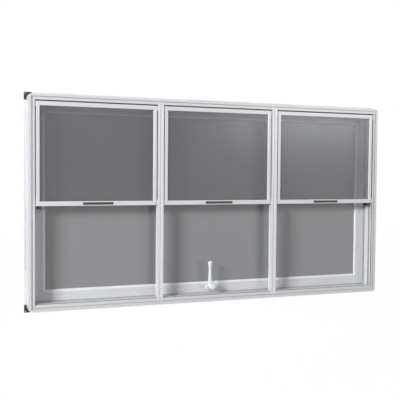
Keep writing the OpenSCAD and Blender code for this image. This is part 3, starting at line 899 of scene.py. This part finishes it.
@dataclass
class Crank:
    """Operator of the sash: oval housing, boss, bent handle and flared grip.

    Lengths are in metres. Heights and the handle's stations are counted from the shaft.
    """

    bend_x: float = -20 * MM
    bend_z: float = 36 * MM
    stations: tuple[float, ...] = (
        -0.0135, 0.0, 0.018, 0.036, 0.06, 0.085, 0.103, 0.113, 0.121, 0.1265, 0.1355,
    )
    half_widths: tuple[float, ...] = (
        0.0, 0.0135, 0.0118, 0.0104, 0.009, 0.0083, 0.0083, 0.0096, 0.0116, 0.0124, 0.0,
    )
    thickness: tuple[float, ...] = (
        0.0, 0.0045, 0.0045, 0.0045, 0.0044, 0.0043, 0.0043, 0.0047, 0.0053, 0.0056, 0.0,
    )
    blur_grid: int = 241
    blur_steps: int = 25
    crowding: float = 0.6
    rings: int = 141
    ring_sides: int = 36
    ridge_power: float = 1.75
    eye_middle: float = 4.5 * MM
    boss_r: float = 13.5 * MM
    boss_len: float = 24 * MM
    boss_edge: float = 2 * MM
    boss_edge_steps: int = 5
    boss_sides: int = 48
    housing_w: float = 74 * MM
    housing_h: float = 27 * MM
    housing_depth: float = 18 * MM
    housing_shift: float = 12 * MM
    housing_drop: float = 7 * MM
    housing_edge: float = 5.5 * MM
    housing_edge_steps: int = 8
    front_rings: int = 7
    side_points: int = 25
    core_r: float = 0.4 * MM
    recess_share: float = 0.34
    recess_w: float = 6 * MM
    taper_share: float = 0.4
    shaft_x: float = field(init=False, default=0.0)
    shaft_z: float = field(init=False, default=0.0)

    def build(self) -> None:
        """Makes the smooth handle, boss and housing over their CAD parts."""
        # Enamel flows out more than powder does, so its peel is wider and softer.
        coat = CoatedMetal(
            "White enamel on die-cast zinc", colour="#e7e8ea", roughness=0.28, peel_mm=2.5
        ).build()
        # The housing takes the handle's white enamel painted a little darker, as painted shade.
        shaded_shell = CoatedMetal(
            "White enamel on the housing", colour="#dfe0e2", roughness=0.3, peel_mm=2.5
        ).build()
        low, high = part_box("crank_hub")
        self.shaft_x, self.shaft_z = (low[0] + high[0]) / 2, (low[2] + high[2]) / 2
        self.handle(coat)
        self.boss(coat)
        self.housing(shaded_shell)

    def profile(self, z: np.ndarray, values: tuple[float, ...]) -> np.ndarray:
        """Smoothed values between the stations, with elliptical ends.

        Between the stations the values run straight, and a moving mean over blur_steps of blur_grid
        even steps smooths them. Past the first and last but one they fall as sqrt(1 - d ** 2).

        Args:
            z: Heights over the shaft.
            values: Value at each station.

        Returns:
            Value at each height.
        """
        knots = np.array(self.stations)
        fine = np.linspace(knots[1], knots[-2], self.blur_grid)
        body = np.pad(np.interp(fine, knots[1:-1], np.array(values)[1:-1]), self.blur_steps // 2, mode="edge")
        body = np.interp(z, fine, np.convolve(body, np.ones(self.blur_steps) / self.blur_steps, mode="valid"))
        low = np.clip((knots[1] - z) / (knots[1] - knots[0]), 0, 1)
        high = np.clip((z - knots[-2]) / (knots[-1] - knots[-2]), 0, 1)
        return body * np.sqrt(1 - low**2) * np.sqrt(1 - high**2)

    def handle(self, coat: bpy.types.Material) -> None:
        """Carries an oval section up the bent centreline.

        Point (i, j) is C(z) + w(z) * oval_x(j) * side(z) - t(z) * oval_y(j) * Y, where C runs up
        with x = bend_x * smooth_step(z / bend_z), and side is at right angles to it in the front
        view. The rings crowd towards both ends, by a cosine.

        Args:
            coat: Its finish.
        """
        even = np.linspace(0, 1, self.rings)
        share = self.crowding * (1 - np.cos(math.pi * even)) / 2 + (1 - self.crowding) * even
        z = self.stations[0] + (self.stations[-1] - self.stations[0]) * share
        x = self.bend_x * smooth_step(z / self.bend_z)
        slope = np.gradient(x, z)
        side = np.stack([np.ones_like(z), np.zeros_like(z), -slope], axis=1) / np.sqrt(1 + slope**2)[:, None]
        wide, thick = self.profile(z, self.half_widths), self.profile(z, self.thickness)
        oval = superellipse(1.0, self.ridge_power, self.ring_sides)
        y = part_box("crank_handle")[1][1] - self.eye_middle
        middle = np.stack([self.shaft_x + x, np.full_like(z, y), self.shaft_z + z], axis=1)
        points = (
            middle[:, None, :]
            + (wide[:, None] * oval[None, :, 0])[..., None] * side[:, None, :]
            - (thick[:, None] * oval[None, :, 1])[..., None] * np.array([0.0, 1.0, 0.0])
        )
        faces = grid_faces(self.rings, self.ring_sides)
        piece = make_piece("crank_arm_and_grip", points, faces, coat, FRAME_BODY, Slot.ZINC)
        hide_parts("crank_handle", "crank_knob")

    def boss(self, coat: bpy.types.Material) -> None:
        """Turns the side profile of boss and hub about the shaft: (x, z) = r(y) * (cos a, sin a).

        Args:
            coat: Its finish.
        """
        low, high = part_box("crank_hub")
        back, front, hub_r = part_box("operator_housing")[1][1], low[1], (high[0] - low[0]) / 2
        edge, turn = self.boss_edge, np.linspace(0, QUARTER_TURN, self.boss_edge_steps + 1)
        shoulder = back - self.boss_len + edge * (1 - np.sin(turn))
        y = np.concatenate([[back, back], shoulder, [front + edge, front, front]])
        r = np.concatenate([[0.0, self.boss_r], self.boss_r - edge * (1 - np.cos(turn)), [hub_r, hub_r, 0.0]])
        angle = np.arange(self.boss_sides) * (2 * math.pi / self.boss_sides)
        points = np.zeros((len(y), self.boss_sides, 3))
        points[..., 0] = self.shaft_x + r[:, None] * np.cos(angle)
        points[..., 1] = y[:, None]
        points[..., 2] = self.shaft_z + r[:, None] * np.sin(angle)
        faces = grid_faces(len(y), self.boss_sides)
        piece = make_piece("crank_boss", points, faces, coat, FRAME_BODY, Slot.ZINC)
        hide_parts("crank_hub")

    def housing(self, coat: bpy.types.Material) -> None:
        """Rounds the front edge of an oval outline and shapes its front.

        Ring i is the oval set in by d(i) at height h(i): with a radius R - d(i), round the ends of a
        straight length, so (x, z) = (s, 0) + (R - d) * (cos a, sin a). The front sinks round the
        boss and falls off to the right by the factor
        1 - recess * exp(-((r - boss_r) / recess_w) ** 2) - taper * smooth_step(x / reach).

        Args:
            coat: Its finish.
        """
        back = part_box("operator_housing")[1][1]
        radius, half_l = self.housing_h / 2, (self.housing_w - self.housing_h) / 2
        edge, high = self.housing_edge, self.housing_depth
        turn = np.linspace(0, QUARTER_TURN, self.housing_edge_steps + 1)
        front = np.linspace(edge, radius - self.core_r, self.front_rings + 1)[1:]
        inset = np.concatenate([[0.0], edge * (1 - np.cos(turn)), front])
        rise = np.concatenate([[0.0], high - edge + edge * np.sin(turn), np.full(self.front_rings, high)])
        half_turn = np.linspace(-QUARTER_TURN, QUARTER_TURN, self.side_points)
        even = np.linspace(half_l, -half_l, self.side_points)[1:-1]
        level, end = np.full(len(even), QUARTER_TURN), np.full(self.side_points, half_l)
        angle = np.concatenate([half_turn, level, half_turn + math.pi, -level])
        shift = np.concatenate([end, even, -end, even[::-1]])
        x = self.housing_shift + shift + (radius - inset)[:, None] * np.cos(angle)
        z = -self.housing_drop + (radius - inset)[:, None] * np.sin(angle)
        recess = self.recess_share * np.exp(-(((np.hypot(x, z) - self.boss_r) / self.recess_w) ** 2))
        taper = self.taper_share * smooth_step(x / (self.housing_shift + self.housing_w / 2))
        depth = back - rise[:, None] * (1 - recess - taper)
        points = np.stack([self.shaft_x + x, depth, self.shaft_z + z], axis=2)
        rings, cols = len(inset), len(angle)
        caps = [list(range(cols)), list(range(cols * (rings - 1), cols * rings))]
        faces = grid_faces(rings, cols).tolist() + caps
        piece = make_piece("operator_cover", points, faces, coat, FRAME_BODY, Slot.ZINC)
        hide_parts("operator_housing")


@dataclass(frozen=True)
class Softbox:
    """A rectangular lamp that faces the window's middle.

    Its azimuth counts to the right from the window's room side and its elevation upwards, in degrees.
    Its level is the brightness that it gives to a white matt surface facing it.
    """

    name: str
    azimuth: float
    elevation: float
    distance: float
    size: tuple[float, float]
    level: float


@dataclass
class Studio:
    """Camera, floor, world and soft lights."""

    camera_at: tuple[float, float, float] = (-1.4219, -3.4157, 0.6617)
    yaw: float = 0.3752
    pitch: float = -0.0386
    roll: float = 0.0079
    focal_px: float = 715.0
    image_px: float = 400.0
    sensor_mm: float = 36.0
    clip_end: float = 60.0
    aim: tuple[float, float, float] = (0.0, 0.0, 0.5)
    ambient: float = 0.05
    floor_z: float = -0.95
    floor_half: float = 14.0
    floor_mottle: float = 0.5
    floor_tone: tuple[float, float] = (0.99, 1.0)
    floor_glow: float = 1.015
    floor_white_share: float = 0.97
    softboxes: tuple[Softbox, ...] = (
        Softbox("key_softbox", azimuth=-59.0, elevation=16.0, distance=9.0, size=(2.3, 1.8), level=1.02),
        Softbox("front_softbox", azimuth=4.0, elevation=24.0, distance=7.0, size=(1.8, 1.4), level=0.1),
        Softbox("top_softbox", azimuth=10.0, elevation=80.0, distance=5.0, size=(4.0, 2.0), level=0.15),
        Softbox("right_softbox", azimuth=36.0, elevation=11.0, distance=6.6, size=(2.4, 0.8), level=0.13),
        Softbox("rear_softbox", azimuth=165.0, elevation=35.0, distance=6.0, size=(4.0, 3.0), level=0.8),
    )

    def build(self) -> None:
        """Makes the whole studio."""
        self.camera()
        self.world()
        self.floor()
        for softbox in self.softboxes:
            self.lamp(softbox)
        bpy.context.scene.view_settings.view_transform = "Standard"

    def camera(self) -> None:
        """Places the camera where the photograph's perspective puts it.

        Forward is (sin yaw cos pitch, cos yaw cos pitch, sin pitch), right is (cos yaw, -sin yaw, 0)
        and up is right x forward, and right and up are then turned by the roll.
        """
        cy, sy, cp, sp = math.cos(self.yaw), math.sin(self.yaw), math.cos(self.pitch), math.sin(self.pitch)
        forward = Vector((sy * cp, cy * cp, sp))
        level = Vector((cy, -sy, 0.0))
        right = level * math.cos(self.roll) + level.cross(forward) * math.sin(self.roll)
        turn = Matrix((right, right.cross(forward), -forward)).transposed().to_4x4()
        data = bpy.data.cameras.new("camera")
        data.sensor_width = self.sensor_mm
        data.lens = self.sensor_mm * self.focal_px / self.image_px
        data.clip_end = self.clip_end
        camera = bpy.data.objects.new("camera", data)
        camera.matrix_world = Matrix.Translation(self.camera_at) @ turn
        bpy.context.scene.collection.objects.link(camera)
        bpy.context.scene.camera = camera

    def world(self) -> None:
        """White where the camera, gloss and glass see it, and a plain level of light elsewhere."""
        world = bpy.data.worlds.new("studio")
        world.use_nodes = True
        tree = world.node_tree
        tree.nodes.clear()
        strength = add_node(tree, "MapRange", {"To Min": self.ambient, "To Max": 1.0}, {0: self.seen(tree)})
        back = add_node(tree, "Background", {"Color": linear("#ffffff")}, {"Strength": strength.outputs[0]})
        out = add_node(tree, "OutputWorld")
        tree.links.new(back.outputs[0], out.inputs[0])
        bpy.context.scene.world = world

    def seen(self, tree: bpy.types.NodeTree) -> bpy.types.NodeSocket:
        """Socket that is 1 for rays of the camera, gloss and glass, and 0 for the rest.

        Args:
            tree: Node tree that takes the nodes.

        Returns:
            The socket.
        """
        path = add_node(tree, "LightPath")
        total = path.outputs["Is Camera Ray"]
        for kind in ("Is Glossy Ray", "Is Transmission Ray"):
            clamped = {"operation": "ADD", "use_clamp": True}
            total = add_node(tree, "Math", clamped, {0: total, 1: path.outputs[kind]}).outputs[0]
        return total

    def floor(self) -> None:
        """Makes the pale floor, which shows nearly white and still takes the object's shadow."""
        mesh = bpy.data.meshes.new("floor")
        r, z = self.floor_half, self.floor_z
        mesh.from_pydata([(-r, -r, z), (r, -r, z), (r, r, z), (-r, r, z)], [], [(0, 1, 2, 3)])
        material, tree, output = new_material("Pale studio floor", "#f2f2f2")
        place = add_node(tree, "TexCoord").outputs["Object"]
        noise = add_node(tree, "TexNoise", {"Scale": 1 / self.floor_mottle, "Detail": 2.0}, {"Vector": place})
        low, high = self.floor_tone
        value = add_node(tree, "MapRange", {"To Min": low, "To Max": high}, {0: noise.outputs[0]})
        tint = add_node(tree, "HueSaturation", {"Color": linear("#b4b4b4")}, {"Value": value.outputs[0]})
        matt = add_node(tree, "BsdfDiffuse", links={"Color": tint.outputs[0]})
        glow = add_node(tree, "Emission", {"Color": linear("#ffffff"), "Strength": self.floor_glow})
        white = {"operation": "MULTIPLY", 1: self.floor_white_share}
        share = add_node(tree, "Math", white, {0: self.seen(tree)})
        mix = add_node(tree, "MixShader", links={0: share.outputs[0], 1: matt.outputs[0], 2: glow.outputs[0]})
        tree.links.new(mix.outputs[0], output.inputs[0])
        mesh.materials.append(material)
        floor = bpy.data.objects.new("floor", mesh)
        bpy.context.scene.collection.objects.link(floor)

    def lamp(self, softbox: Softbox) -> None:
        """Adds one lamp.

        It stands at distance * (sin a cos e, -cos a cos e, sin e) from the window's middle, and its
        power is level * (pi * distance) ** 2.

        Args:
            softbox: The lamp's place, size and level.
        """
        a, e = math.radians(softbox.azimuth), math.radians(softbox.elevation)
        away = Vector((math.sin(a) * math.cos(e), -math.cos(a) * math.cos(e), math.sin(e)))
        data = bpy.data.lights.new(softbox.name, "AREA")
        data.shape = "RECTANGLE"
        data.size, data.size_y = softbox.size
        data.energy = softbox.level * (math.pi * softbox.distance) ** 2
        lamp = bpy.data.objects.new(softbox.name, data)
        lamp.location = Vector(self.aim) + away * softbox.distance
        lamp.rotation_euler = (-away).to_track_quat("-Z", "Y").to_euler()
        bpy.context.scene.collection.objects.link(lamp)


def main() -> None:
    """Builds every sub-assembly in turn."""
    logging.basicConfig(level=logging.INFO, format="%(name)s %(message)s")
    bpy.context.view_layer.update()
    Studio().build()
    OuterFrame().build()
    GlazedSash().build()
    wire = CoatedWire().build()
    spline = MouldedPlastic("Black vinyl spline", "#202122", 0.6).build()
    latch = MouldedPlastic("Black moulded nylon of the screens", "#252628", 0.42).build()
    shoe = MouldedPlastic("White moulded nylon of the shoes", "#c9cacc", 0.5).build()
    pull = MouldedPlastic("Dark extruded vinyl pull", "#3a3b3d", 0.5, grain_mm=0.8).build()
    for bay in Bay:
        bars = CoatedMetal(
            f"White coat on roll-formed bars, {bay.value}",
            colour="#d9d9dc",
            joints=Rectangle.of_nodes(f"{bay.body}_frame"),
            joint_mm=0.4,
        ).build()
        InsectScreen(bay, bars, wire, spline, latch, shoe, pull).build()
    Crank().build()


if __name__ == "__main__":
    main()
